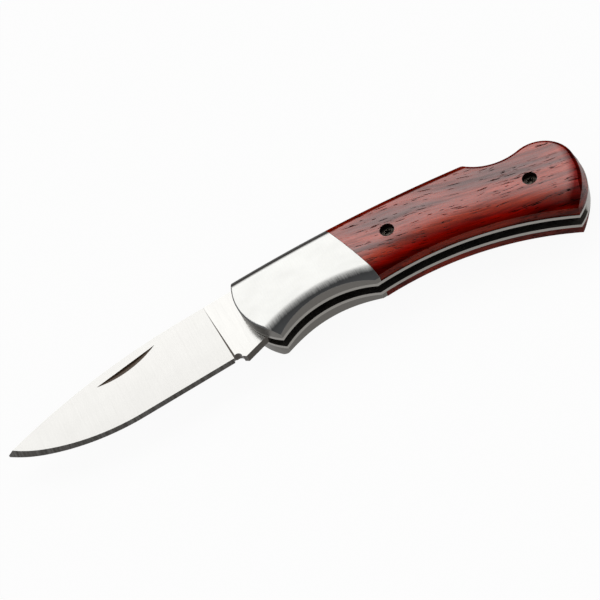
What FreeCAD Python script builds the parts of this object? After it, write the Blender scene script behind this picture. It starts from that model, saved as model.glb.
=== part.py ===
import FreeCAD, Part
import math
import os

# A lock-back folding knife, lying open on its right flank.
# X runs from the blade to the butt, Y from the cutting edge to the spine, Z up out of the left flank.
# The origin is where the blade's pivot axis meets the surface that the knife lies on.
# Every plan position below is measured from the pivot axis, in millimetres, and what lies at the butt
# is measured from the butt.

# Stack across the handle, from the middle outwards
blade_thickness = 2.5
washer_thickness = 0.2
liner_thickness = 1.0
handle_thickness = 12.6
slot_half = blade_thickness / 2 + washer_thickness
liner_face = slot_half + liner_thickness
crown = handle_thickness / 2

# Fits
running_clearance = 0.03
pin_clearance = 0.01
screw_clearance = 0.06
lock_side_clearance = 0.05
lock_clearance = 0.15
joint_gap = 0.06

# Reach of the blade's point, and the butt, which leaves room for the point when the knife is closed.
# The handle droops towards the butt, so a longer one has a lower butt.
blade_reach = 76.5
point_room = 5.9
handle_droop = 0.25
droop_from = 10.0
butt_x = blade_reach + point_room
butt_y = droop_from - handle_droop * butt_x

# Handle outline: corners in plan, and the radius of the arc that leads to the next corner.
# A positive radius bulges outwards and a negative one is hollow.
front_low = (-2.6, -10.4)
groove_end = (24.1, -10.9)
butt_low_offset = (-8.55, -13.6)
butt_side_offset = (0.0, 0.0)
hump_front_offset = (-11.2, 11.35)
notch_front_offset = (-24.1, 16.45)
top_front = (-5.1, 11.2)
front_high = (-6.8, 9.7)
groove_radius = -25.5
belly_radius = -84.0
butt_low_radius = 16.4
butt_high_radius = 9.55
notch_radius = -13.0
top_radius = 372.0
front_corner_radius = 2.0
front_radius = 16.8

# Lines that the lower flank is rolled down to, a little outside the outline and straighter than it
groove_roll_radius = -36.0
belly_roll_radius = -82.5
butt_roll_radius = 20.15
groove_roll_start = (-2.8, -10.49)
groove_roll_end = (24.3, -11.05)
belly_roll_start = (24.1, -11.0)
belly_roll_end_offset = (-9.4, -14.6)
butt_roll_start_offset = (-8.0, -14.15)

# Rounding of each edge of the flank: radius, and how far below the crown it reaches
bolster_low_rounding = (4.75, 2.3)
scale_low_rounding = (30.0, 1.7)
top_rounding = (3.3, 3.0)
butt_rounding = (1.7, 0.5)
front_rounding = (0.5, 0.5)
butt_lean = 1.0
scale_step = 0.25
butt_step = 0.05

# How far each of these cuts runs on past the ends of its line
groove_overrun = (5.0, 5.0)
belly_overrun = (4.0, 4.0)
top_overrun = (8.0, 8.0)
front_overrun = (1.0, 1.0)
notch_overrun = (0.3, 1.0)
butt_low_overrun = (2.0, 0.3)
butt_overrun = (0.3, 0.3)

# Seam between bolster and scale, an arc that bulges to the butt
seam_top = (20.0, 10.6)
seam_low = (25.55, -12.0)
seam_radius = 152.0

# Blade outline: each arc runs from the point's reach to where it meets the next stretch
spine_y = 11.5
edge_y = -7.7
spine_arc_run = 53.75
spine_arc_start = spine_arc_run - blade_reach
spine_arc_radius = 183.0
edge_arc_run = 35.0
edge_arc_start = edge_arc_run - blade_reach
edge_arc_radius = 64.7
tip_arc_run = 8.5
tip_arc_start = tip_arc_run - blade_reach
tip_arc_radius = 39.0
plunge_top_x = -15.9
plunge_low_x = -14.75
plunge_slope = 0.7
edge_bevel = 1.1
edge_shoulder_half = 0.48
edge_land = 0.04
flank_follow = 0.6
flank_relief = 0.03
tip_height = 0.45
tip_tolerance = 0.001
blade_stations = 13
choil_centre = (-14.45, -7.55)
choil_radius = 1.2

# Nail nick on the left face: a crescent under a straight upper wall
nick_left_run = 26.9
nick_left_y = 7.1
nick_right_run = 44.9
nick_right_y = 9.3
nick_sagitta = 1.9
nick_depth = 0.55

# Tang
kick_front = (-13.4, -7.7)
kick = (-12.4, -8.5)
tang_low = (-6.4, -6.6)
closing_angle = 170.0
tang_radius = 6.8
pivot_diameter = 4.0
pivot_half_length = 4.6
washer_inset = 2.0
washer_diameter = 2 * (tang_radius - washer_inset)

# Lock bar: the rest position has its tooth just clear of the tang, 2.7 degrees above the locked one
tooth_front = -1.5
tooth_width = 2.8
tooth_gap = 0.25
locked_tooth_y = 5.5
released_tooth_y = tang_radius + tooth_gap
shoulder_lean = 0.3
tooth_relief = 1.45
relief_run = 1.0
bar_front_y = 7.5
bar_front_x = 7.0
kick_place = (13.8, 7.35)
lock_pin_at = (32.0, 7.0)
lock_pin_diameter = 2.5
lock_boss_radius = 2.9
bar_heel = (40.0, 3.6)
bar_tail_low_offset = (-24.4, 11.8)
bar_end_low_offset = (-12.1, 8.7)
bar_thumb_rise = 1.0

# Butt spacer and the lock spring that is let into it
tip_path_clearance = 0.9
tail_turn = 1.0
spacer_tail_offset = (-5.45, -11.15)
spacer_inner_low_offset = (-6.0, -5.0)
spacer_nose_offset = (-18.9, 5.6)
spacer_face_back = 11.2
spring_thickness = 0.7
spring_width = 2.6
spring_seat_offset = (-7.2, 7.0)
spring_rest = 3.0
spring_tip_run = 25.2
spring_drop = 0.46
spring_bend = 28.0
spacer_pin_diameter = 2.2
upper_spacer_pin_offset = (-5.2, 4.2)
lower_spacer_pin_offset = (-3.2, -2.8)

# Scale screws, one near the middle and one near the butt of each scale
front_screw_at = (33.3, -1.0)
rear_screw_offset = (-13.2, 0.75)
screw_well_diameter = 3.75
screw_seat_height = 1.55
screw_head_diameter = 3.5
screw_head_height = 1.2
screw_diameter = 2.0
socket_core_radius = 0.72
socket_lobe_radius = 0.26
socket_depth = 0.8
socket_lobes = 6

# Rivets that hold each bolster to its liner
rivet_diameter = 2.0
rivet_end = 4.4
rivet_places = {"upper": (16.0, 6.2), "lower": (15.0, -4.0)}

# How far cutters stand clear of what they cut
margin = 1.0


def point(at, z=0.0):
    """A plan position as a vector at height z."""
    return FreeCAD.Vector(at[0], at[1], z)


def arc_centre(start, end, radius):
    """Centre of the arc between two plan points, walking with the solid on the left."""
    chord_x = end[0] - start[0]
    chord_y = end[1] - start[1]
    half = math.hypot(chord_x, chord_y) / 2
    reach = math.sqrt(radius * radius - half * half)
    side = math.copysign(reach / (2 * half), radius)
    return ((start[0] + end[0]) / 2 - chord_y * side, (start[1] + end[1]) / 2 + chord_x * side)


def arc_edge(start, end, radius, z=0.0):
    """The shorter arc between two plan points, as an edge at height z."""
    centre = arc_centre(start, end, radius)
    middle = ((start[0] + end[0]) / 2 - centre[0], (start[1] + end[1]) / 2 - centre[1])
    stretch = abs(radius) / math.hypot(middle[0], middle[1])
    crest = (centre[0] + middle[0] * stretch, centre[1] + middle[1] * stretch)
    return Part.Arc(point(start, z), point(crest, z), point(end, z)).toShape()


def line_edge(start, end, z=0.0):
    """A straight edge between two plan points at height z."""
    return Part.LineSegment(point(start, z), point(end, z)).toShape()


def prism(edges, low, high):
    """A closed plan outline pulled up from height low to height high."""
    face = Part.Face(Part.Wire(edges))
    face.translate(FreeCAD.Vector(0, 0, low))
    return face.extrude(FreeCAD.Vector(0, 0, high - low))


def polygon(points, low, high):
    """A straight-sided outline pulled up from height low to height high."""
    closed = list(points) + [points[0]]
    return prism([line_edge(a, b) for a, b in zip(closed, closed[1:])], low, high)


def rod(at, diameter, low, high):
    """An upright cylinder between two heights."""
    return Part.makeCylinder(diameter / 2, high - low, point(at, low), FreeCAD.Vector(0, 0, 1))


def circle_y(centre, radius, x, sign):
    """Height of a circle at x, on its upper side with sign 1 and on its lower with sign -1."""
    return centre[1] + sign * math.sqrt(radius * radius - (x - centre[0]) ** 2)


def mirrored(shape):
    """The right-hand twin of a left-hand piece."""
    return shape.mirror(FreeCAD.Vector(0, 0, 0), FreeCAD.Vector(0, 0, 1))


def from_butt(offset):
    """A plan position that is given from the butt, as one from the pivot axis."""
    return (butt_x + offset[0], butt_y + offset[1])


# Places that move with the butt
butt_low = from_butt(butt_low_offset)
butt_side = from_butt(butt_side_offset)
hump_front = from_butt(hump_front_offset)
notch_front = from_butt(notch_front_offset)
bar_tail_low = from_butt(bar_tail_low_offset)
bar_end_low = from_butt(bar_end_low_offset)
spacer_tail = from_butt(spacer_tail_offset)
spacer_inner_low = from_butt(spacer_inner_low_offset)
spacer_nose = from_butt(spacer_nose_offset)
spacer_face_x = butt_x - spacer_face_back
spring_root_x, spring_seat_y = from_butt(spring_seat_offset)
spacer_pins_at = {
    "spacer_pin_upper": from_butt(upper_spacer_pin_offset),
    "spacer_pin_lower": from_butt(lower_spacer_pin_offset),
}
screw_places = {"front": front_screw_at, "rear": from_butt(rear_screw_offset)}

# Places that move with the blade's point
nick_left = (nick_left_run - blade_reach, nick_left_y)
nick_right = (nick_right_run - blade_reach, nick_right_y)

# Lines of the lower flank's rolls
groove_roll = (groove_roll_start, groove_roll_end, groove_roll_radius)
belly_roll = (belly_roll_start, from_butt(belly_roll_end_offset), belly_roll_radius)
butt_roll = (from_butt(butt_roll_start_offset), butt_side, butt_roll_radius)

# Handle outline, walked with the solid on the left
outline_arcs = {
    "groove": (front_low, groove_end, groove_radius),
    "belly": (groove_end, butt_low, belly_radius),
    "butt_low": (butt_low, butt_side, butt_low_radius),
    "butt_high": (butt_side, hump_front, butt_high_radius),
    "notch": (hump_front, notch_front, notch_radius),
    "top": (notch_front, top_front, top_radius),
    "front_corner": (top_front, front_high, front_corner_radius),
    "front": (front_high, front_low, front_radius),
}
top_centre = arc_centre(*outline_arcs["top"])
notch_centre = arc_centre(*outline_arcs["notch"])


def handle_slab(low, high):
    """The whole handle outline between two heights."""
    return prism([arc_edge(*arc) for arc in outline_arcs.values()], low, high)


def edge_cutter(line, rounding, extra, lean=0.0):
    """What is ground off the flank along an arc, run on past both ends, over a wall that may lean in."""
    start, end, radius = line
    centre = arc_centre(start, end, radius)
    size = abs(radius)
    inward = -math.copysign(1.0, radius)
    curve, drop = rounding
    width = math.sqrt(2 * curve * drop - drop * drop)
    turn = math.asin(width / curve)
    first = math.atan2(start[1] - centre[1], start[0] - centre[0])
    last = math.atan2(end[1] - centre[1], end[0] - centre[0])
    sweep = (last - first + math.pi) % (2 * math.pi) - math.pi
    before, after = [math.copysign(length / size, sweep) for length in extra]

    def at(distance, z):
        reach = size + inward * distance
        angle = first - before
        return point((centre[0] + reach * math.cos(angle), centre[1] + reach * math.sin(angle)), z)

    width += lean
    middle = at(width - curve * math.sin(turn / 2), crown - curve * (1 - math.cos(turn / 2)))
    curve_edge = Part.Arc(at(width, crown), middle, at(lean, crown - drop)).toShape()
    corners = [at(lean, crown - drop)]
    if lean:
        corners.append(at(butt_step, liner_face))
    corners += [at(-margin, corners[-1].z), at(-margin, crown + margin)]
    corners += [at(width, crown + margin), at(width, crown)]
    sides = [Part.LineSegment(a, b).toShape() for a, b in zip(corners, corners[1:])]
    face = Part.Face(Part.Wire([curve_edge] + sides))
    return face.revolve(point(centre), FreeCAD.Vector(0, 0, 1), math.degrees(sweep + before + after))


def bolster_side(gap):
    """Everything on the blade's side of the seam, widened by gap."""
    centre = arc_centre(seam_low, seam_top, seam_radius)
    return rod(centre, 2 * (seam_radius + gap), 0, crown + margin)


def make_bolster():
    """A solid steel bolster, hollowed below for the finger and crisp at the front."""
    body = handle_slab(liner_face, crown).common(bolster_side(0))
    body = body.cut(edge_cutter(groove_roll, bolster_low_rounding, groove_overrun))
    body = body.cut(edge_cutter(belly_roll, bolster_low_rounding, belly_overrun))
    body = body.cut(edge_cutter(outline_arcs["top"], top_rounding, top_overrun))
    body = body.cut(edge_cutter(outline_arcs["front"], front_rounding, front_overrun))
    body = body.cut(rod((0, 0), pivot_diameter + 2 * pin_clearance, 0, pivot_half_length))
    for place in rivet_places.values():
        body = body.cut(rod(place, rivet_diameter + 2 * pin_clearance, 0, rivet_end))
    return body


def make_scale():
    """A wooden scale with a thumb notch and two wells for its screws."""
    body = handle_slab(liner_face, crown).cut(bolster_side(joint_gap))
    belly_centre = arc_centre(*outline_arcs["belly"])
    body = body.cut(rod(belly_centre, 2 * (abs(belly_radius) + scale_step), 0, crown + margin))
    body = body.cut(edge_cutter(belly_roll, scale_low_rounding, belly_overrun))
    body = body.cut(edge_cutter(outline_arcs["top"], top_rounding, top_overrun))
    body = body.cut(edge_cutter(outline_arcs["notch"], butt_rounding, notch_overrun, butt_lean))
    body = body.cut(edge_cutter(butt_roll, butt_rounding, butt_low_overrun, butt_lean))
    body = body.cut(edge_cutter(outline_arcs["butt_high"], butt_rounding, butt_overrun, butt_lean))
    for place in screw_places.values():
        body = body.cut(rod(place, screw_diameter + 2 * screw_clearance, 0, crown))
        body = body.cut(rod(place, screw_well_diameter, liner_face + screw_seat_height, crown + margin))
    return body


def make_liner():
    """A flat steel liner with the holes of every pin, rivet and screw."""
    body = handle_slab(slot_half, liner_face)
    holes = [((0, 0), pivot_diameter), (lock_pin_at, lock_pin_diameter)]
    holes += [(place, spacer_pin_diameter) for place in spacer_pins_at.values()]
    holes += [(place, screw_diameter) for place in screw_places.values()]
    holes += [(place, rivet_diameter) for place in rivet_places.values()]
    for place, diameter in holes:
        body = body.cut(rod(place, diameter + 2 * pin_clearance, 0, crown))
    return body


def make_screw(place):
    """A scale screw: a flat head with a six-lobe socket, threaded into the liner."""
    seat = liner_face + screw_seat_height
    top = seat + screw_head_height
    body = rod(place, screw_head_diameter, seat, top).fuse(rod(place, screw_diameter, slot_half, seat))
    floor = top - socket_depth
    socket = rod(place, 2 * socket_core_radius, floor, top + margin)
    for step in range(socket_lobes):
        angle = 2 * math.pi * step / socket_lobes
        lobe_x = place[0] + socket_core_radius * math.cos(angle)
        lobe_y = place[1] + socket_core_radius * math.sin(angle)
        socket = socket.fuse(rod((lobe_x, lobe_y), 2 * socket_lobe_radius, floor, top + margin))
    return body.cut(socket).removeSplitter()


def spine_height(x):
    """The spine: straight from the tang, then one long arc down to the point."""
    if x > spine_arc_start:
        return spine_y
    return circle_y((spine_arc_start, spine_y - spine_arc_radius), spine_arc_radius, x, 1)


edge_centre = (edge_arc_start, edge_y + edge_arc_radius)
tip_arc_y = circle_y(edge_centre, edge_arc_radius, tip_arc_start, -1)
tip_centre = (tip_arc_start + (edge_centre[0] - tip_arc_start) * tip_arc_radius / edge_arc_radius,
              tip_arc_y + (edge_centre[1] - tip_arc_y) * tip_arc_radius / edge_arc_radius)


def edge_height(x):
    """The cutting edge: straight from the choil, then a belly arc and a tighter one up to the point."""
    if x > edge_arc_start:
        return edge_y
    if x > tip_arc_start:
        return circle_y(edge_centre, edge_arc_radius, x, -1)
    return circle_y(tip_centre, tip_arc_radius, x, -1)


def tip_position():
    """Where spine and edge have closed to the height of the blunted point."""
    near = edge_arc_start
    far = tip_centre[0] - tip_arc_radius
    while near - far > tip_tolerance:
        middle = (near + far) / 2
        if spine_height(middle) - edge_height(middle) > tip_height:
            near = middle
        else:
            far = middle
    return near


tip_x = tip_position()
flank_rise = blade_thickness / 2 - flank_relief - edge_shoulder_half
flank_slope = flank_rise / (spine_y - edge_y - edge_bevel)


def flank_half(x, y):
    """Half the thickness of the flat-ground blade, whose flank follows a share of the edge's rise."""
    base = edge_y + flank_follow * (edge_height(x) - edge_y) + edge_bevel
    return edge_shoulder_half + flank_slope * (y - base)


def flank_section(x):
    """The wedge between the two ground flanks, standing clear of spine and edge."""
    top = spine_y + margin
    low = edge_y - margin
    corners = [(top, flank_half(x, top)), (low, flank_half(x, low))]
    corners += [(low, -flank_half(x, low)), (top, -flank_half(x, top))]
    return Part.makePolygon([FreeCAD.Vector(x, y, z) for y, z in corners + corners[:1]])


def blade_outline():
    """The blade in plan from its point to behind the plunge, with the land that sharpening leaves."""
    back_x = plunge_low_x + 2 * margin
    low = [(x, edge_height(x) + edge_land) for x in (tip_x, tip_arc_start, edge_arc_start, back_x)]
    high = [(x, spine_height(x)) for x in (back_x, spine_arc_start, tip_x)]
    edges = [arc_edge(low[0], low[1], tip_arc_radius), arc_edge(low[1], low[2], edge_arc_radius)]
    edges += [line_edge(low[2], low[3]), line_edge(low[3], high[0]), line_edge(high[0], high[1])]
    return edges + [arc_edge(high[1], high[2], spine_arc_radius), line_edge(high[2], low[0])]


def bevel_face(place):
    """What sharpening takes off one side; place puts a distance from the edge and a height into space."""
    reach = 2 * edge_bevel
    corners = [(-margin, 0), (0, 0), (reach, reach * edge_shoulder_half / edge_bevel)]
    corners += [(reach, blade_thickness), (-margin, blade_thickness), (-margin, 0)]
    return Part.Face(Part.makePolygon([place(distance, z) for distance, z in corners]))


def sharpened(body):
    """The ground blade with its edge bevelled on both sides: flat on the straight, a cone on each arc."""
    run = FreeCAD.Vector(plunge_low_x + 3 * margin - edge_arc_start, 0, 0)
    cutters = [bevel_face(lambda d, z: FreeCAD.Vector(edge_arc_start, edge_y + d, z)).extrude(run)]
    arcs = [(edge_centre, edge_arc_radius, edge_arc_start, tip_arc_start)]
    arcs.append((tip_centre, tip_arc_radius, tip_arc_start, tip_x - margin))
    for centre, radius, first_x, last_x in arcs:
        first = math.asin((first_x - centre[0]) / radius) - math.pi / 2
        last = math.asin((last_x - centre[0]) / radius) - math.pi / 2

        def at(distance, z):
            reach = radius - distance
            return point((centre[0] + reach * math.cos(first), centre[1] + reach * math.sin(first)), z)

        turn = math.degrees(last - first)
        cutters.append(bevel_face(at).revolve(point(centre), FreeCAD.Vector(0, 0, 1), turn))
    for cutter in cutters:
        body = body.cut(cutter).cut(mirrored(cutter))
    return body


def plunge_side():
    """Everything on the tang's side of the plunge, which slopes down from each face to the flank."""
    lean = (plunge_low_x - plunge_top_x) / (spine_y - edge_y)
    low_y = edge_y - 2 * margin
    line_x = plunge_low_x + 2 * margin * lean
    high = blade_thickness / 2 + margin
    open_x = line_x + margin * plunge_slope
    far_x = tang_radius + 2 * margin
    corners = [(line_x - blade_thickness / 2 * plunge_slope, 0), (open_x, high), (far_x, high)]
    corners += [(far_x, -high), (open_x, -high)]
    section = Part.makePolygon([FreeCAD.Vector(x, low_y, z) for x, z in corners + corners[:1]])
    rise = spine_y + margin - low_y
    return Part.Face(section).extrude(FreeCAD.Vector(-lean * rise, rise, 0))


def tang_outline():
    """Ricasso, kick, closed flat, round cam, lock notch and stop shoulder, with the solid on the left."""
    flat_slope = math.tan(math.radians(180 - closing_angle))
    foot = tang_low[1] - flat_slope * tang_low[0]
    along = 1 + flat_slope * flat_slope
    cross_x = (-flat_slope * foot + math.sqrt(along * tang_radius ** 2 - foot * foot)) / along
    flat_end = (cross_x, foot + flat_slope * cross_x)
    notch_back_x = tooth_front + tooth_width + lock_clearance
    notch_back = (notch_back_x, math.sqrt(tang_radius ** 2 - notch_back_x ** 2))
    notch_low_y = locked_tooth_y - lock_clearance
    notch_front_x = tooth_front - lock_clearance
    shoulder_top = (notch_front_x - shoulder_lean, spine_y - shoulder_lean)
    ricasso_top = (plunge_top_x - 2 * margin, spine_y)
    ricasso_low = (plunge_top_x - 2 * margin, kick_front[1])
    cam = Part.Arc(point(flat_end), point((tang_radius, 0)), point(notch_back)).toShape()
    rear = [notch_back, (notch_back_x, notch_low_y), (notch_front_x, notch_low_y)]
    rear += [(notch_front_x, released_tooth_y + tooth_gap), shoulder_top]
    rear += [(top_front[0], spine_y), ricasso_top, ricasso_low]
    rear += [kick_front, kick, tang_low, flat_end]
    return [cam] + [line_edge(a, b) for a, b in zip(rear, rear[1:])]


def nail_nick():
    """A shallow cone under a straight wall, which leaves the crescent that a fingernail catches."""
    run = (nick_right[0] - nick_left[0], nick_right[1] - nick_left[1])
    length = math.hypot(run[0], run[1])
    radius = (length * length / 4 + nick_sagitta ** 2) / (2 * nick_sagitta)
    up = (-run[1] / length, run[0] / length)
    middle = ((nick_left[0] + nick_right[0]) / 2, (nick_left[1] + nick_right[1]) / 2)
    centre = (middle[0] + up[0] * (radius - nick_sagitta), middle[1] + up[1] * (radius - nick_sagitta))
    face_z = flank_half(*middle)
    steep = nick_depth / nick_sagitta
    cone = Part.makeCone(radius - 2 * nick_sagitta, radius + nick_sagitta, 3 * nick_depth,
                         point(centre, face_z - 2 * nick_sagitta * steep), FreeCAD.Vector(0, 0, 1))
    wall_left = (nick_left[0] - up[1] * margin, nick_left[1] + up[0] * margin)
    wall_right = (nick_right[0] + up[1] * margin, nick_right[1] - up[0] * margin)
    below = [wall_left, (wall_left[0] - up[0] * radius, wall_left[1] - up[1] * radius)]
    below += [(wall_right[0] - up[0] * radius, wall_right[1] - up[1] * radius), wall_right]
    return cone.common(polygon(below, 0, blade_thickness))


def make_blade():
    """A flat-ground drop-point blade with its tang, pierced for the pivot."""
    point_x = tip_x - margin
    reach = plunge_low_x + 3 * margin - point_x
    stations = [point_x + reach * step / (blade_stations - 1) for step in range(blade_stations)]
    wedge = Part.makeLoft([flank_section(x) for x in stations], True, False)
    half = blade_thickness / 2
    ground = prism(blade_outline(), -half - margin, half + margin).common(wedge)
    tang = prism(tang_outline(), -half, half).common(plunge_side())
    body = sharpened(ground).cut(plunge_side()).fuse(tang)
    body = body.cut(rod(choil_centre, 2 * choil_radius, -half - margin, half + margin))
    body = body.cut(rod((0, 0), pivot_diameter + 2 * running_clearance, -half - margin, half + margin))
    return body.cut(nail_nick())


def thumb_line(x):
    """Top of the lock bar in the thumb notch, a little proud of the scales."""
    return circle_y(notch_centre, abs(notch_radius), x, -1) + bar_thumb_rise


def make_lock_bar():
    """A rocking bar with a tooth over the tang at one end and the thumb's press at the other."""
    tooth_back = tooth_front + tooth_width
    front_top = (tooth_front, circle_y(top_centre, top_radius, tooth_front, 1))
    thumb_end = (bar_end_low[0], thumb_line(bar_end_low[0]))
    thumb_start_x = notch_front[0] + bar_thumb_rise
    thumb_start = (thumb_start_x, thumb_line(thumb_start_x))
    boss_low = (lock_pin_at[0], lock_pin_at[1] - lock_boss_radius)
    low = [front_top, (tooth_front, released_tooth_y), (tooth_back, released_tooth_y)]
    relief_y = released_tooth_y + tooth_relief
    low += [(tooth_back, relief_y), (tooth_back + relief_run, relief_y), (bar_front_x, bar_front_y)]
    low += [kick_place, boss_low, bar_heel, bar_tail_low, bar_end_low, thumb_end]
    edges = [line_edge(a, b) for a, b in zip(low, low[1:])]
    edges.append(arc_edge(thumb_end, thumb_start, notch_radius - bar_thumb_rise))
    edges.append(line_edge(thumb_start, notch_front))
    edges.append(arc_edge(notch_front, front_top, top_radius))
    half = slot_half - lock_side_clearance
    body = prism(edges, -half, half)
    return body.cut(rod(lock_pin_at, lock_pin_diameter + 2 * running_clearance, -crown, crown))


def spring_outline():
    """A strip that lies in the spacer's slot and rises in an arc to the underside of the bar."""
    half = spring_thickness / 2
    seat = spring_seat_y + half
    root = (spring_root_x, seat)
    lift_x = butt_x - spring_tip_run
    bar_slope = (bar_tail_low[1] - bar_heel[1]) / (bar_tail_low[0] - bar_heel[0])
    spring_tip = (lift_x, bar_heel[1] + bar_slope * (lift_x - bar_heel[0]) - spring_drop)
    leave = (spacer_nose[0] + spring_rest, seat)
    run = (spring_tip[0] - leave[0], spring_tip[1] - leave[1])
    length = math.hypot(run[0], run[1])
    across = (-run[1] / length * half, run[0] / length * half)
    tip_high = (spring_tip[0] - across[0], spring_tip[1] - across[1])
    tip_low = (spring_tip[0] + across[0], spring_tip[1] + across[1])
    low = [(leave[0], seat - half), (root[0], seat - half), (root[0], seat + half), (leave[0], seat + half)]
    edges = [line_edge(a, b) for a, b in zip(low, low[1:])]
    edges.append(arc_edge(low[-1], tip_high, -spring_bend))
    edges.append(line_edge(tip_high, tip_low))
    edges.append(arc_edge(tip_low, low[0], spring_bend))
    return edges


def make_spring():
    """The flat spring that lifts the tail of the lock bar."""
    return prism(spring_outline(), -spring_width / 2, spring_width / 2)


def make_spacer():
    """The block between the liners at the butt, clear of the closed blade's point."""
    reach = math.hypot(tip_x, spine_height(tip_x)) + tip_path_clearance
    foot_angle = math.asin(spacer_tail[1] / reach) + math.radians(tail_turn)
    foot = (reach * math.cos(foot_angle), reach * math.sin(foot_angle))
    face_top = (spacer_face_x, spine_y)
    far_x = butt_side[0] + margin
    keep = [spacer_tail, (far_x, spacer_tail[1]), (far_x, spine_y), face_top]
    keep += [(spacer_face_x, spring_seat_y + spring_thickness), (spacer_face_x, spring_seat_y)]
    keep += [(spacer_nose[0], spring_seat_y), spacer_nose, spacer_inner_low, foot]
    body = handle_slab(-slot_half, slot_half).common(polygon(keep, -slot_half, slot_half))
    slot = [(spacer_face_x - margin, spring_seat_y), (spring_root_x, spring_seat_y)]
    slot += [(spring_root_x, spring_seat_y + spring_thickness)]
    slot += [(spacer_face_x - margin, spring_seat_y + spring_thickness)]
    body = body.cut(polygon(slot, -slot_half, slot_half))
    for place in spacer_pins_at.values():
        body = body.cut(rod(place, spacer_pin_diameter + 2 * pin_clearance, -crown, crown))
    return body


def make_washer():
    """A thin bronze washer between the tang and a liner."""
    half = blade_thickness / 2
    hole = rod((0, 0), pivot_diameter + 2 * running_clearance, 0, crown)
    return rod((0, 0), washer_diameter, half, slot_half).cut(hole)


parts = {
    "blade": make_blade(),
    "lock_bar": make_lock_bar(),
    "lock_spring": make_spring(),
    "butt_spacer": make_spacer(),
    "pivot_pin": rod((0, 0), pivot_diameter, -pivot_half_length, pivot_half_length),
    "lock_bar_pin": rod(lock_pin_at, lock_pin_diameter, -liner_face, liner_face),
}
for name, place in spacer_pins_at.items():
    parts[name] = rod(place, spacer_pin_diameter, -liner_face, liner_face)

left_parts = {
    "pivot_washer": make_washer(),
    "liner": make_liner(),
    "bolster": make_bolster(),
    "scale": make_scale(),
}
for name, place in screw_places.items():
    left_parts[name + "_scale_screw"] = make_screw(place)
for name, place in rivet_places.items():
    left_parts[name + "_bolster_rivet"] = rod(place, rivet_diameter, slot_half, rivet_end)
for name, shape in left_parts.items():
    parts["left_" + name] = shape
    parts["right_" + name] = mirrored(shape)

os.makedirs("parts", exist_ok=True)
for name, shape in parts.items():
    shape.translate(FreeCAD.Vector(0, 0, crown))
    if len(shape.Solids) != 1 or not shape.isValid():
        raise RuntimeError(name + " is not one valid solid")
    shape.Solids[0].exportStep("parts/" + name + ".step")
    box = shape.BoundBox
    print(name, round(shape.Volume, 2), [round(v, 2) for v in (box.XMin, box.XMax, box.YMin, box.YMax,
                                                               box.ZMin, box.ZMax)])
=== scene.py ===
"""Looks of a lock-back folding knife: satin steel blade and bolsters, polished red hardwood scales."""

import math

import bpy
from mathutils import Matrix, Vector

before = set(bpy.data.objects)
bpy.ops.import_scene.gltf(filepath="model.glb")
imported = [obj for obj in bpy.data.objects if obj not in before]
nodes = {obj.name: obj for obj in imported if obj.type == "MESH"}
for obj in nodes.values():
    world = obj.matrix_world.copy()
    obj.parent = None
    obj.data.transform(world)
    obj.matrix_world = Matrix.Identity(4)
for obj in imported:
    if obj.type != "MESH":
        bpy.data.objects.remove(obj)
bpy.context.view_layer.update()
scene = bpy.context.scene
scene.view_settings.view_transform = "Standard"

MM = 0.001
SIDES = ("left", "right")

# Inputs of a Mix node that blends colours, and of a Map Range node
FACTOR, FIRST, SECOND = 0, 6, 7
VALUE, LOW, HIGH, TO_LOW, TO_HIGH = range(5)

# The photograph's view: angles in degrees, lens and sensor in mm
VIEW_SPIN = 3.0  # the knife's turn about Z
VIEW_TILT = 37.0  # how far its spine leans away from the camera
VIEW_ROLL = 28.4  # its turn in the picture
VIEW_DISTANCE = 355 * MM
VIEW_TARGET = Vector((6.0 * MM, -1.4 * MM, 6.3 * MM))
VIEW_DROP = 0.2 * MM  # how far the target lies below the picture's middle
LENS_MM = 85.2
SENSOR_MM = 36.0
NEAR_LIMIT = 10 * MM

# The room's lights, as strengths. Each fades in over a stretch of a direction's x, y or z.
SOFTBOX = 1.9
SOFTBOX_SPINEWARD = {LOW: 0.28, HIGH: 0.56}  # y
SOFTBOX_UPWARD = {LOW: 0.32, HIGH: 0.5}  # z
SOFTBOX_ENDWARD = {LOW: 0.95, HIGH: 0.75}  # x, either way
END_WALLS = 1.3
END_WALLS_FADE = {LOW: 0.55, HIGH: 0.85}  # x, either way
HORIZON = 0.55
HORIZON_FADE = {LOW: 0.38, HIGH: 0.22}  # z
EDGE_FILL = 0.5
EDGE_FILL_FADE = {LOW: -0.1, HIGH: -0.5}  # y
CEILING = 0.25

# The floor
FLOOR_HALF = 4.0  # half its width, in metres
FLOOR_WHITE = 0.93  # share of plain white in what the eye sees of it

# Random patterns and worn edges
NOISE = {LOW: 0.3, HIGH: 0.7}  # the stretch that nearly all values of a pattern lie in
NOISE_LAYERS = 0.55  # strength of each finer layer of a pattern next to the coarser one
EDGE_WEAR = {LOW: 0.985, HIGH: 0.86}  # rounded normal times true normal, on a face and on an edge
EDGE_SAMPLES = 4

# Ground steel, its tints painted light and shade by the way a face looks. A face is level, 1, where it
# looks straight out of a flank, and 0 on a side.
STEEL_SIDE = {LOW: 0.15, HIGH: 0.5}  # levels over which a side turns into the rounding
STEEL_FLAT = {LOW: 0.93, HIGH: 1.03}  # and the rounding into the flat, with the strokes' shift added
STROKE_SHIFT = 0.1
STEEL_SPINE = {LOW: 0.05, HIGH: 0.25}  # how far a face looks to the spine's side as it takes that tint
STEEL_EDGE = 0.1  # radius in mm over which an edge is worn bright
STEEL_EDGE_BRIGHT = 0.4  # how bright, where 1 is the flat face's tint
STEEL_PATCH = (7, 4, 4)  # size in mm of glossier and duller patches
PATCH_GLOSSIER = 0.05  # shares of the roughness
PATCH_DULLER = 0.06

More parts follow.
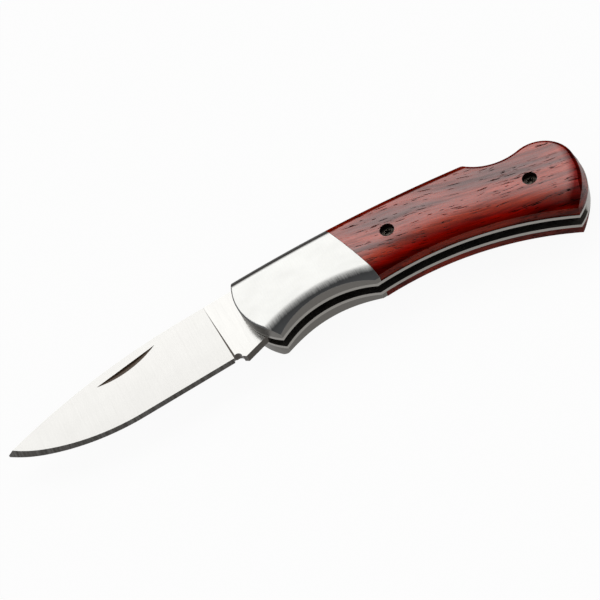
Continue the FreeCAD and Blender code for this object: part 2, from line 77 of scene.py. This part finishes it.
# The nail nick, in mm and degrees
NICK_MIDDLE = (-40.6, 8.2)  # middle of its upper wall
NICK_HALF_LENGTH = 9.6
NICK_WIDTH = 2.6
NICK_MARGIN = 0.4  # beside its walls
NICK_LEAN = 7.0
NICK_LEVEL = 0.99  # its faces are less level than this
NICK_ROUGHER = 0.15  # added to the blade's roughness
NICK_METALLIC = 0.2  # how metallic it is, so that the brown of its painted shade shows

# The wood's grain, in mm and degrees. A cell's first size is along the grain.
GRAIN_LEAN = -17.0
GRAIN_SWING = 8.0  # how far it swings slowly across its run
GRAIN_SHIVER = 0.5  # how far it shivers finely
SWING_CELL = (45, 25, 25)
SHIVER_CELL = (4, 2, 2)
BAND_CELL = (48, 4, 4)
STREAK_CELL = (20, 1, 1)
FIBRE_CELL = (4, 0.3, 0.3)
BAND_EDGE = {LOW: 0.36, HIGH: 0.6}  # values of the pattern over which a band turns orange-red
STREAK_EDGE = {LOW: 0.52, HIGH: 0.7, TO_HIGH: 0.5}  # and a streak dark, and how dark
FIBRE_SHADE = {TO_LOW: 0.72, TO_HIGH: 1.2}
FIBRE_ROUGHNESS = {TO_LOW: 0.32, TO_HIGH: 0.44}

# The wood's open pores, in mm
PORE_ROW = (45, 0.6, 0.6)  # size of the rows that they crowd into
PORE_CROWD = {LOW: 0.53, HIGH: 0.6, TO_LOW: 0.04}  # share of cells with a long pore, off a row and in it
SHORT_PORE_CROWD = {TO_LOW: 0.05, TO_HIGH: 0.4}  # and with a short one
LONG_PORE = (6.0, 0.36, 0.36)  # size of the cell that holds one
LONG_PORE_HALF = 0.36  # half its width, as a share of its cell
SHORT_PORE = (2.8, 0.4, 0.4)
SHORT_PORE_HALF = 0.3
PORE_CORE = 0.7  # share of its width that is fully dark
PORE_ROUGHER = 0.3  # added to the wood's roughness
PORE_DEPTH = 0.015
WOOD_RELIEF = 0.6  # strength of the bump from pores and fibres

# Levels, as for steel, over which the wood's painted shade sets in, and its worn edges
WOOD_ROLL = {LOW: 0.992, HIGH: 0.974}  # the flank rolls over
WOOD_RIM = {LOW: 0.972, HIGH: 0.957}  # the end of the roll
WOOD_SIDE = {LOW: 0.9, HIGH: 0.5}  # a wall turns into a side
WOOD_SPINE = {LOW: 0.02, HIGH: 0.12}  # how far a face looks to the spine's side as it turns paler
WOOD_EDGE = 0.25  # radius in mm over which an edge is worn light
WOOD_EDGE_LIGHT = 0.3  # how light

# Near the butt's rim the palm rubs the coat thin, and painted shade darkens the wood
PALM_MIDDLE = (62.0, -6.0)  # a spot in plan, in mm
PALM_RUB = {LOW: 17.2 * MM, HIGH: 19.2 * MM}  # distances from it over which the rubbing sets in
PALM_ALONG = {LOW: 70 * MM, HIGH: 74 * MM}  # places along X over which it does

# The wood's coat, as weights
COAT_FLANK = {LOW: 0.97, HIGH: 0.996}  # levels over which it is buffed to full weight
COAT_SIDE = {LOW: 0.6, HIGH: 0.3, TO_HIGH: 0.09}  # levels over which a side has its film
COAT_BUTT = {LOW: 0.45, HIGH: 0.8, TO_HIGH: 0.5}  # how far a face looks to the butt as it is buffed
COAT_SUNK = {LOW: 0.35, HIGH: 0.65, TO_LOW: 1.0, TO_HIGH: 0.75}  # what the dark streaks leave of it
COAT_RUBBED = {TO_LOW: 1.0, TO_HIGH: 0.1}  # what the palm leaves of it
COAT_ROUGHNESS = 0.16
COAT_IOR = 1.95  # above plain oil's 1.5, to match the strong glare

# Axes of the scale screws in plan, and a radius just outside their wells' walls, in mm
FRONT_SCREW = (33.3, -1.0)
REAR_SCREW = (69.2, -9.85)
WELL_RADIUS = 1.9

# Turned metal
RING_SCALE = 0.9  # a wave pattern repeats every 0.314 / scale, so here every 0.35 mm
RING_CUT = 0.006  # in mm
FILM_CELL = (0.8, 0.8, 0.8)  # size in mm of patches in the oil film
FILM_ROUGHNESS = 0.06  # how far they change the roughness either way


def linear(hex_colour):
    """An sRGB hex colour as linear red, green, blue and full alpha."""
    parts = [int(hex_colour[i:i + 2], 16) / 255 for i in (1, 3, 5)]
    return tuple(c / 12.92 if c <= 0.04045 else ((c + 0.055) / 1.055) ** 2.4 for c in parts) + (1.0,)


def add(tree, kind, inputs=None, **settings):
    """Adds one node. Settings are its properties; inputs are constants, or nodes or sockets to link."""
    node = tree.nodes.new("ShaderNode" + kind)
    for name, value in settings.items():
        setattr(node, name, value)
    for key, value in (inputs or {}).items():
        if isinstance(value, bpy.types.Node):
            value = next(socket for socket in value.outputs if socket.enabled)
        if isinstance(value, bpy.types.NodeSocket):
            tree.links.new(value, node.inputs[key])
        else:
            node.inputs[key].default_value = value
    return node


def new_material(name):
    """An empty material, and its tree."""
    material = bpy.data.materials.new(name)
    material.use_nodes = True
    material.node_tree.nodes.clear()
    return material, material.node_tree


def cells(tree, place, cell, turn):
    """Coordinates in which a cell of cell mm along each axis, turned about Z by turn degrees, is 1 long."""
    return add(tree, "Mapping", {
        "Vector": place, "Rotation": (0, 0, math.radians(turn)), "Scale": [size * MM for size in cell],
    }, vector_type="TEXTURE")


def grain(tree, place, cell, turn=0.0, detail=2.0):
    """A random pattern whose cells measure cell mm along each axis, turned about Z by turn degrees."""
    return add(tree, "TexNoise", {
        "Vector": cells(tree, place, cell, turn), "Scale": 1.0, "Detail": detail, "Roughness": NOISE_LAYERS,
    })


def worn_edges(tree, radius):
    """1 along crisp edges and 0 on faces: how far a normal rounded over radius mm leaves the true one."""
    rounded = add(tree, "Bevel", {"Radius": radius * MM}, samples=EDGE_SAMPLES)
    true = add(tree, "NewGeometry").outputs["Normal"]
    together = add(tree, "VectorMath", {0: rounded, 1: true}, operation="DOT_PRODUCT")
    return add(tree, "MapRange", {VALUE: together, **EDGE_WEAR})


def facing(tree, place):
    """How far a face looks to the butt and to the spine's side, and how level it is."""
    buttward, spineward, outward = add(tree, "SeparateXYZ", {0: place.outputs["Normal"]}).outputs
    level = add(tree, "Math", {0: outward}, operation="ABSOLUTE")
    return buttward, spineward, level


def away_from(tree, place, spot):
    """The distance in plan, in metres, from a spot given in mm."""
    spot = (spot[0] * MM, spot[1] * MM, 0)
    plan = add(tree, "VectorMath", {0: place.outputs["Object"], 1: (1, 1, 0)}, operation="MULTIPLY")
    return add(tree, "VectorMath", {0: plan, 1: spot}, operation="DISTANCE")


def nick_hollow(tree, place, level):
    """1 inside the nail nick, where its painted shade goes: within its length, below the line of its wall,
    where the face is not flat.
    """
    own = add(tree, "Mapping", {
        "Vector": place.outputs["Object"], "Location": (NICK_MIDDLE[0] * MM, NICK_MIDDLE[1] * MM, 0),
        "Rotation": (0, 0, math.radians(NICK_LEAN)), "Scale": (MM, MM, MM),
    }, vector_type="TEXTURE")
    along, across = add(tree, "SeparateXYZ", {0: own}).outputs[:2]
    reach = add(tree, "Math", {0: along}, operation="ABSOLUTE")
    within = add(tree, "Math", {0: reach, 1: NICK_HALF_LENGTH}, operation="LESS_THAN")
    lowered = add(tree, "Math", {0: across, 1: NICK_WIDTH / 2}, operation="ADD")
    beside = add(tree, "Math", {0: lowered}, operation="ABSOLUTE")
    between = add(tree, "Math", {0: beside, 1: NICK_WIDTH / 2 + NICK_MARGIN}, operation="LESS_THAN")
    hollow = add(tree, "Math", {0: level, 1: NICK_LEVEL}, operation="LESS_THAN")
    inside = add(tree, "Math", {0: within, 1: between}, operation="MULTIPLY")
    return add(tree, "Math", {0: inside, 1: hollow}, operation="MULTIPLY")


def steel_painted_light_and_shade(tree, level, spineward, strokes, tints):
    """The steel's tint, painted light and shade by the way that a face looks, with worn edges nearer to the
    flat face's tint.
    """
    face, rounding, side, spine = (linear(tint) for tint in tints)
    turned = add(tree, "MapRange", {VALUE: level, **STEEL_SIDE})
    # Painted shade: the sides and the rounding are darker than the flat face
    painted_shade_tint = add(tree, "Mix", {FACTOR: turned, FIRST: side, SECOND: rounding}, data_type="RGBA")
    uneven = add(tree, "Math", {0: strokes, 1: STROKE_SHIFT, 2: level}, operation="MULTIPLY_ADD")
    flat = add(tree, "MapRange", {VALUE: uneven, **STEEL_FLAT})
    ground = add(tree, "Mix", {FACTOR: flat, FIRST: painted_shade_tint, SECOND: face}, data_type="RGBA")
    above = add(tree, "MapRange", {VALUE: spineward, **STEEL_SPINE})
    # Painted light and shade on faces that look to the spine's side
    plain = add(tree, "Mix", {FACTOR: above, FIRST: ground, SECOND: spine}, data_type="RGBA")
    edges = worn_edges(tree, STEEL_EDGE)
    rubbed = add(tree, "Math", {0: edges, 1: STEEL_EDGE_BRIGHT}, operation="MULTIPLY")
    return add(tree, "Mix", {FACTOR: rubbed, FIRST: plain, SECOND: face}, data_type="RGBA")


def ground_steel(name, tints, roughness, stroke, cut, contrast, nicked=False):
    """Ground steel: fine strokes of a belt blur what it mirrors, and painted shade darkens the edges and
    the sides.

    tints are those of its flat face, and the painted light and shade of its rounding, its sides and all
    that looks to the spine's side.
    stroke is one stroke's size in mm along X, Y and Z, cut its depth in mm, and contrast how much it
    shades the tint. The real strokes are a few hundredths of a millimetre wide, and are drawn wider so
    that they show.
    """
    material, tree = new_material(name)
    place = add(tree, "TexCoord")
    strokes = grain(tree, place.outputs["Object"], stroke, detail=4.0)
    patches = grain(tree, place.outputs["Object"], STEEL_PATCH)
    _, spineward, level = facing(tree, place)
    tint = steel_painted_light_and_shade(tree, level, spineward, strokes, tints)
    shade = add(tree, "MapRange", {
        VALUE: strokes, **NOISE, TO_LOW: 1 - contrast, TO_HIGH: 1 + contrast / 2,
    })
    colour = add(tree, "Mix", {FACTOR: 1.0, FIRST: tint, SECOND: shade},
                 data_type="RGBA", blend_type="MULTIPLY")
    streaky = add(tree, "MapRange", {
        VALUE: strokes, **NOISE, TO_LOW: roughness - contrast / 2, TO_HIGH: roughness + contrast / 2,
    })
    patchy = add(tree, "MapRange", {
        VALUE: patches, **NOISE, TO_LOW: -PATCH_GLOSSIER * roughness, TO_HIGH: PATCH_DULLER * roughness,
    })
    rough = add(tree, "Math", {0: streaky, 1: patchy}, operation="ADD")
    metallic = 1.0
    if nicked:
        # The nick is left rough as the cutter made it, and its hollow is painted dark brown as shade
        hollow = nick_hollow(tree, place, level)
        colour = add(tree, "Mix", {FACTOR: hollow, FIRST: colour, SECOND: linear("#524336")},
                     data_type="RGBA")
        rough = add(tree, "Math", {0: hollow, 1: NICK_ROUGHER, 2: rough}, operation="MULTIPLY_ADD")
        metallic = add(tree, "MapRange", {VALUE: hollow, TO_LOW: metallic, TO_HIGH: NICK_METALLIC})
    relief = add(tree, "Bump", {"Height": strokes, "Distance": cut * MM, "Strength": 1.0})
    shader = add(tree, "BsdfPrincipled", {
        "Base Color": colour, "Metallic": metallic, "Roughness": rough, "Normal": relief,
    })
    add(tree, "OutputMaterial", {"Surface": shader})
    return material


def grain_way(tree, place):
    """Coordinates that follow the wood's grain as it swings slowly and shivers finely across its run."""
    way = place.outputs["Object"]
    for cell, detail, reach in ((SWING_CELL, 1.0, GRAIN_SWING), (SHIVER_CELL, 2.0, GRAIN_SHIVER)):
        wave = grain(tree, place.outputs["Object"], cell, GRAIN_LEAN, detail).outputs["Color"]
        shift = add(tree, "VectorMath", {0: wave, 1: (0, reach * MM, reach * MM)}, operation="MULTIPLY")
        way = add(tree, "VectorMath", {0: way, 1: shift}, operation="ADD").outputs["Vector"]
    return way


def wood_figure(tree, bands, streaks, fibre):
    """The wood's own colour: wine-red and orange-red bands with dark streaks, shaded fibre by fibre."""
    band = add(tree, "MapRange", {VALUE: bands, **BAND_EDGE})
    body = add(tree, "Mix", {FACTOR: band, FIRST: linear("#60190b"), SECOND: linear("#b33815")},
               data_type="RGBA")
    streak = add(tree, "MapRange", {VALUE: streaks, **STREAK_EDGE})
    streaked = add(tree, "Mix", {FACTOR: streak, FIRST: body, SECOND: linear("#2a0705")}, data_type="RGBA")
    return add(tree, "Mix", {FACTOR: 1.0, FIRST: streaked, SECOND: fibre},
               data_type="RGBA", blend_type="MULTIPLY")


def palm_wear_and_shade(tree, place):
    """Rises to 1 towards the rim of the butt."""
    along = add(tree, "SeparateXYZ", {0: place.outputs["Object"]}).outputs["X"]
    rear = add(tree, "MapRange", {VALUE: along, **PALM_ALONG})
    rim = add(tree, "MapRange", {VALUE: away_from(tree, place, PALM_MIDDLE), **PALM_RUB})
    return add(tree, "Math", {0: rim, 1: rear}, operation="MULTIPLY")


def wood_with_painted_shade(tree, figure, spineward, level, rubbed, side):
    """The figure darkened with painted shade.

    Painted shade makes it deep red where the wood rounds over, darker at the rim and near the butt's rim,
    paler towards the spine, and brown on the sides.
    """
    rolled = add(tree, "MapRange", {VALUE: level, **WOOD_ROLL})
    # rubbed marks the butt's rim, which takes the rim's painted shade
    corner = add(tree, "Math", {0: rolled, 1: rubbed}, operation="MULTIPLY")
    edge = add(tree, "MapRange", {VALUE: level, **WOOD_RIM})
    rim = add(tree, "Math", {0: edge, 1: corner}, operation="MAXIMUM")
    rounded = add(tree, "Mix", {FACTOR: rim, FIRST: linear("#d0565c"), SECOND: linear("#7a3236")},
                  data_type="RGBA")
    above = add(tree, "MapRange", {VALUE: spineward, **WOOD_SPINE})
    turned = add(tree, "Mix", {FACTOR: above, FIRST: rounded, SECOND: linear("#a87872")}, data_type="RGBA")
    wood_shade_tint = add(tree, "Mix", {FACTOR: side, FIRST: turned, SECOND: linear("#aa9494")}, data_type="RGBA")
    shade_mask = add(tree, "Math", {0: rolled, 1: rubbed}, operation="MAXIMUM")
    return add(tree, "Mix", {FACTOR: shade_mask, FIRST: figure, SECOND: wood_shade_tint},
               data_type="RGBA", blend_type="MULTIPLY")


def pore_dashes(tree, way, cell, half_width, crowd):
    """1 in short dashes along the grain: one in a share of the cells of cell mm that crowd gives."""
    seeds = add(tree, "TexVoronoi", {"Vector": cells(tree, way, cell, GRAIN_LEAN), "Scale": 1.0})
    dash = add(tree, "MapRange", {
        VALUE: seeds.outputs["Distance"], LOW: half_width, HIGH: half_width * PORE_CORE,
    })
    chance = add(tree, "SeparateColor", {0: seeds.outputs["Color"]}).outputs["Red"]
    kept = add(tree, "Math", {0: chance, 1: crowd}, operation="LESS_THAN")
    return add(tree, "Math", {0: dash, 1: kept}, operation="MULTIPLY")


def open_pores(tree, way):
    """1 in the open pores, which crowd into rows along the grain, with short ones among the long.

    A pore is a cut vessel about 0.15 mm wide. It is drawn about 0.25 mm wide so that it shows.
    """
    rows = grain(tree, way, PORE_ROW, GRAIN_LEAN, detail=1.0)
    crowd = add(tree, "MapRange", {VALUE: rows, **PORE_CROWD})
    short_crowd = add(tree, "MapRange", {VALUE: crowd, **SHORT_PORE_CROWD})
    long_pores = pore_dashes(tree, way, LONG_PORE, LONG_PORE_HALF, crowd)
    short_pores = pore_dashes(tree, way, SHORT_PORE, SHORT_PORE_HALF, short_crowd)
    return add(tree, "Math", {0: long_pores, 1: short_pores}, operation="MAXIMUM")


def screw_wells(tree, place):
    """1 on the walls of the screws' wells, nearer than WELL_RADIUS to a screw's axis: where painted shade
    goes.
    """
    front, rear = (away_from(tree, place, screw) for screw in (FRONT_SCREW, REAR_SCREW))
    nearest = add(tree, "Math", {0: front, 1: rear}, operation="MINIMUM")
    return add(tree, "Math", {0: nearest, 1: WELL_RADIUS * MM}, operation="LESS_THAN")


def wood_coat(tree, level, buttward, streaks, pore, rubbed, side):
    """The weight of the wood's coat: thick on the buffed flanks and at the butt, a film on the sides.

    It leaves the pores open, has sunk into the dark streaks, and is rubbed thin by the palm.
    """
    weight = add(tree, "MapRange", {VALUE: level, **COAT_FLANK})
    film = add(tree, "MapRange", {VALUE: level, **COAT_SIDE})
    butt = add(tree, "MapRange", {VALUE: buttward, **COAT_BUTT})
    for layer in (film, butt):
        weight = add(tree, "Math", {0: weight, 1: layer}, operation="MAXIMUM")
    filled = add(tree, "Math", {0: 1.0, 1: pore}, operation="SUBTRACT")
    sunk = add(tree, "MapRange", {VALUE: streaks, **COAT_SUNK})
    palm = add(tree, "Math", {0: rubbed, 1: side}, operation="SUBTRACT")
    thinned = add(tree, "MapRange", {VALUE: palm, **COAT_RUBBED})
    for share in (filled, sunk, thinned):
        weight = add(tree, "Math", {0: weight, 1: share}, operation="MULTIPLY")
    return weight


def red_hardwood(name):
    """Oiled, buffed tropical hardwood: red bands, dark streaks and black open pores under a glossy coat.

    All of its gloss comes from the coat, so the wood under it has none of its own.
    """
    material, tree = new_material(name)
    place = add(tree, "TexCoord")
    buttward, spineward, level = facing(tree, place)
    way = grain_way(tree, place)
    bands = grain(tree, way, BAND_CELL, GRAIN_LEAN)
    streaks = grain(tree, way, STREAK_CELL, GRAIN_LEAN, detail=3.0)
    fibres = grain(tree, way, FIBRE_CELL, GRAIN_LEAN)
    fibre = add(tree, "MapRange", {VALUE: fibres, **NOISE, **FIBRE_SHADE})
    pore = open_pores(tree, way)
    rubbed = palm_wear_and_shade(tree, place)
    side = add(tree, "MapRange", {VALUE: level, **WOOD_SIDE})

    figure = wood_figure(tree, bands, streaks, fibre)
    shaded_figure = wood_with_painted_shade(tree, figure, spineward, level, rubbed, side)
    pored = add(tree, "Mix", {FACTOR: pore, FIRST: shaded_figure, SECOND: linear("#0f0403")}, data_type="RGBA")

    # Handling wears the oil off crisp edges, which turn lighter, and the screws' wells are darkened with
    # painted shade
    edges = worn_edges(tree, WOOD_EDGE)
    wear = add(tree, "Math", {0: edges, 1: WOOD_EDGE_LIGHT}, operation="MULTIPLY")
    worn = add(tree, "Mix", {FACTOR: wear, FIRST: pored, SECOND: linear("#7d2c1a")}, data_type="RGBA")
    wells = screw_wells(tree, place)
    colour = add(tree, "Mix", {FACTOR: wells, FIRST: worn, SECOND: linear("#1c0806")}, data_type="RGBA")

    smooth = add(tree, "MapRange", {VALUE: fibres, **NOISE, **FIBRE_ROUGHNESS})
    rough = add(tree, "Math", {0: pore, 1: PORE_ROUGHER, 2: smooth}, operation="MULTIPLY_ADD")
    height = add(tree, "Math", {0: fibre, 1: pore}, operation="SUBTRACT")
    relief = add(tree, "Bump", {"Height": height, "Distance": PORE_DEPTH * MM, "Strength": WOOD_RELIEF})
    shader = add(tree, "BsdfPrincipled", {
        "Base Color": colour, "Roughness": rough, "Normal": relief, "Specular IOR Level": 0.0,
        "Coat Weight": wood_coat(tree, level, buttward, streaks, pore, rubbed, side),
        "Coat Roughness": COAT_ROUGHNESS, "Coat IOR": COAT_IOR, "Coat Normal": relief,
    })
    add(tree, "OutputMaterial", {"Surface": shader})
    return material


def turned_metal(name, tint, shadow_tint, roughness, centre=(0, 0)):
    """Metal turned on a lathe: rings about the axis at centre, in mm, with a darker oil film between.

    The real rings are finer, and are drawn wider so that they show.
    """
    material, tree = new_material(name)
    place = add(tree, "TexCoord")
    about = add(tree, "Mapping", {
        "Vector": place.outputs["Object"], "Location": (centre[0] * MM, centre[1] * MM, 0),
        "Scale": (MM, MM, MM),
    }, vector_type="TEXTURE")
    rings = add(tree, "TexWave", {"Vector": about, "Scale": RING_SCALE, "Distortion": 0.6, "Detail": 2.0},
                wave_type="RINGS", rings_direction="SPHERICAL")
    film = grain(tree, place.outputs["Object"], FILM_CELL)
    shade = add(tree, "Math", {0: rings, 1: film}, operation="MULTIPLY")
    bright = add(tree, "Math", {0: shade, 1: worn_edges(tree, STEEL_EDGE)}, operation="MAXIMUM")
    colour = add(tree, "Mix", {FACTOR: bright, FIRST: linear(shadow_tint), SECOND: linear(tint)},
                 data_type="RGBA")
    rough = add(tree, "MapRange", {
        VALUE: film, **NOISE, TO_LOW: roughness - FILM_ROUGHNESS, TO_HIGH: roughness + FILM_ROUGHNESS,
    })
    relief = add(tree, "Bump", {"Height": rings, "Distance": RING_CUT * MM, "Strength": 1.0})
    shader = add(tree, "BsdfPrincipled", {
        "Base Color": colour, "Metallic": 1.0, "Roughness": rough, "Normal": relief,
    })
    add(tree, "OutputMaterial", {"Surface": shader})
    return material


def dress(material, *names):
    """Gives one material to CAD nodes."""
    for name in names:
        mesh = nodes[name].data
        mesh.materials.clear()
        mesh.materials.append(material)


def both(piece):
    """The names of a piece on the left side and of its twin on the right."""
    return [side + "_" + piece for side in SIDES]


def place_camera():
    """The photograph's camera.

    The knife's own axes are worked out as the camera sees them, to the right, down and away: rolled in
    the picture, with +Y leaning away, and turned about Z. Read the other way, they give the camera's axes.
    """
    tilt, roll, spin = (math.radians(a) for a in (VIEW_TILT, VIEW_ROLL, VIEW_SPIN))
    along = Vector((math.cos(roll), -math.sin(roll), 0))
    up = Vector((-math.sin(roll) * math.cos(tilt), -math.cos(roll) * math.cos(tilt), math.sin(tilt)))
    out = along.cross(up)
    turned_along = along * math.cos(spin) + up * math.sin(spin)
    turned_up = up * math.cos(spin) - along * math.sin(spin)
    right, down, forward = (Vector(axis) for axis in zip(turned_along, turned_up, out))
    axes = Matrix((right, -down, -forward)).transposed()
    place = VIEW_TARGET - VIEW_DROP * down - VIEW_DISTANCE * forward
    lens = bpy.data.cameras.new("view")
    lens.lens = LENS_MM
    lens.sensor_width = SENSOR_MM
    lens.clip_start = NEAR_LIMIT
    camera = bpy.data.objects.new("view", lens)
    camera.matrix_world = Matrix.Translation(place) @ axes.to_4x4()
    scene.collection.objects.link(camera)
    scene.camera = camera


def make_floor():
    """A plain pale floor under the knife, white to the eye and in the metal, with a faint shadow."""
    corners = [(x * FLOOR_HALF, y * FLOOR_HALF, 0) for x, y in ((-1, -1), (1, -1), (1, 1), (-1, 1))]
    mesh = bpy.data.meshes.new("floor")
    mesh.from_pydata(corners, [], [(0, 1, 2, 3)])
    floor = bpy.data.objects.new("floor", mesh)
    scene.collection.objects.link(floor)
    material, tree = new_material("pale_floor")
    ray = add(tree, "LightPath").outputs
    mirrored = add(tree, "Math", {0: ray["Is Glossy Ray"], 1: ray["Is Transmission Ray"]},
                   operation="MAXIMUM")
    seen = add(tree, "Math", {0: ray["Is Camera Ray"], 1: mirrored}, operation="MAXIMUM")
    share = add(tree, "Math", {0: seen, 1: FLOOR_WHITE}, operation="MULTIPLY")
    paper = add(tree, "BsdfDiffuse", {"Color": linear("#f6f6f6")})
    white = add(tree, "Emission", {"Color": linear("#ffffff"), "Strength": 1.0})
    surface = add(tree, "MixShader", {0: share, 1: paper, 2: white})
    add(tree, "OutputMaterial", {"Surface": surface})
    mesh.materials.append(material)


def light_room():
    """A studio seen as directions from the knife.

    One wide softbox stands on the spine's side and fades out overhead, low down and at its ends. The
    walls at both ends are pale, the low horizon and the edge's side less so, and the ceiling is dim.
    """
    world = bpy.data.worlds.new("room")
    scene.world = world
    world.use_nodes = True
    tree = world.node_tree
    tree.nodes.clear()
    way = add(tree, "TexCoord").outputs["Generated"]
    x, y, z = add(tree, "SeparateXYZ", {0: way}).outputs
    sideways = add(tree, "Math", {0: x}, operation="ABSOLUTE")
    softbox = SOFTBOX
    for part, fade in ((y, SOFTBOX_SPINEWARD), (z, SOFTBOX_UPWARD), (sideways, SOFTBOX_ENDWARD)):
        edge = add(tree, "MapRange", {VALUE: part, **fade}, interpolation_type="SMOOTHSTEP")
        softbox = add(tree, "Math", {0: softbox, 1: edge}, operation="MULTIPLY")
    strength = add(tree, "Math", {0: softbox, 1: CEILING}, operation="MAXIMUM")
    for part, fade, most in ((sideways, END_WALLS_FADE, END_WALLS), (z, HORIZON_FADE, HORIZON),
                             (y, EDGE_FILL_FADE, EDGE_FILL)):
        glow = add(tree, "MapRange", {VALUE: part, **fade, TO_HIGH: most}, interpolation_type="SMOOTHSTEP")
        strength = add(tree, "Math", {0: glow, 1: strength}, operation="MAXIMUM")
    room = add(tree, "Background", {"Color": linear("#ffffff"), "Strength": strength})
    add(tree, "OutputWorld", {"Surface": room})


# Stainless steel, satin-ground across the blade with a fine belt: it mirrors the light as a soft sheen,
# with painted shade on its bevel, sides and spine
dress(
    ground_steel("satin_blade_steel", ("#c3c2bf", "#5a524b", "#45413d", "#8a8681"),
                 roughness=0.19, stroke=(0.5, 14, 2), cut=0.0015, contrast=0.07, nicked=True),
    "blade",
)

# Stainless steel, brushed across the handle with a coarser belt: pale and even on the flats, with painted
# shade on the rounding, sides and top
dress(
    ground_steel("brushed_bolster_steel", ("#d9d9d6", "#595a5b", "#66635f", "#383533"),
                 roughness=0.4, stroke=(0.4, 5, 3), cut=0.0015, contrast=0.05),
    *both("bolster"),
)

# Sheet steel, ground along the handle: its edges show as bright lines beside the slot, and painted light
# makes what looks to the spine paler
dress(
    ground_steel("ground_liner_steel", ("#8a8783", "#8e8b86", "#8e8b86", "#b0ada8"),
                 roughness=0.34, stroke=(6, 0.4, 0.3), cut=0.006, contrast=0.08),
    "butt_spacer", *both("liner"),
)

# Tempered spring steel: painted shade darkens it inside the handle, and painted light brightens the back,
# which is ground flush
dress(
    ground_steel("spring_steel_painted_shade", ("#66635f", "#4a4744", "#3a3835", "#a09e9a"),
                 roughness=0.36, stroke=(5, 0.4, 0.4), cut=0.006, contrast=0.08),
    "lock_bar", "lock_spring",
)

# Polished red hardwood: warm and streaky, with the glare of its coat on the flanks, and painted shade on
# its roll, rim, sides, butt and screw wells
dress(red_hardwood("oiled_red_hardwood"), *both("scale"))

# Round steel pins and rivets: bright, with faint rings
dress(
    turned_metal("turned_pin_steel", "#b4b2ae", "#7d7a76", roughness=0.3),
    "pivot_pin", "lock_bar_pin", "spacer_pin_upper", "spacer_pin_lower",
    *both("upper_bolster_rivet"), *both("lower_bolster_rivet"),
)

# Turned steel screws: painted darker than the pins, as shade deep in their wells
for end, axis in (("front", FRONT_SCREW), ("rear", REAR_SCREW)):
    dress(
        turned_metal("turned_" + end + "_screw", "#837a70", "#1c1714", roughness=0.3, centre=axis),
        *both(end + "_scale_screw"),
    )

# Pressed bronze washers: golden, with the rings that the turning tang rubs into them
dress(turned_metal("pressed_bronze", "#b98d50", "#7a552a", roughness=0.35), *both("pivot_washer"))

place_camera()
make_floor()
light_room()
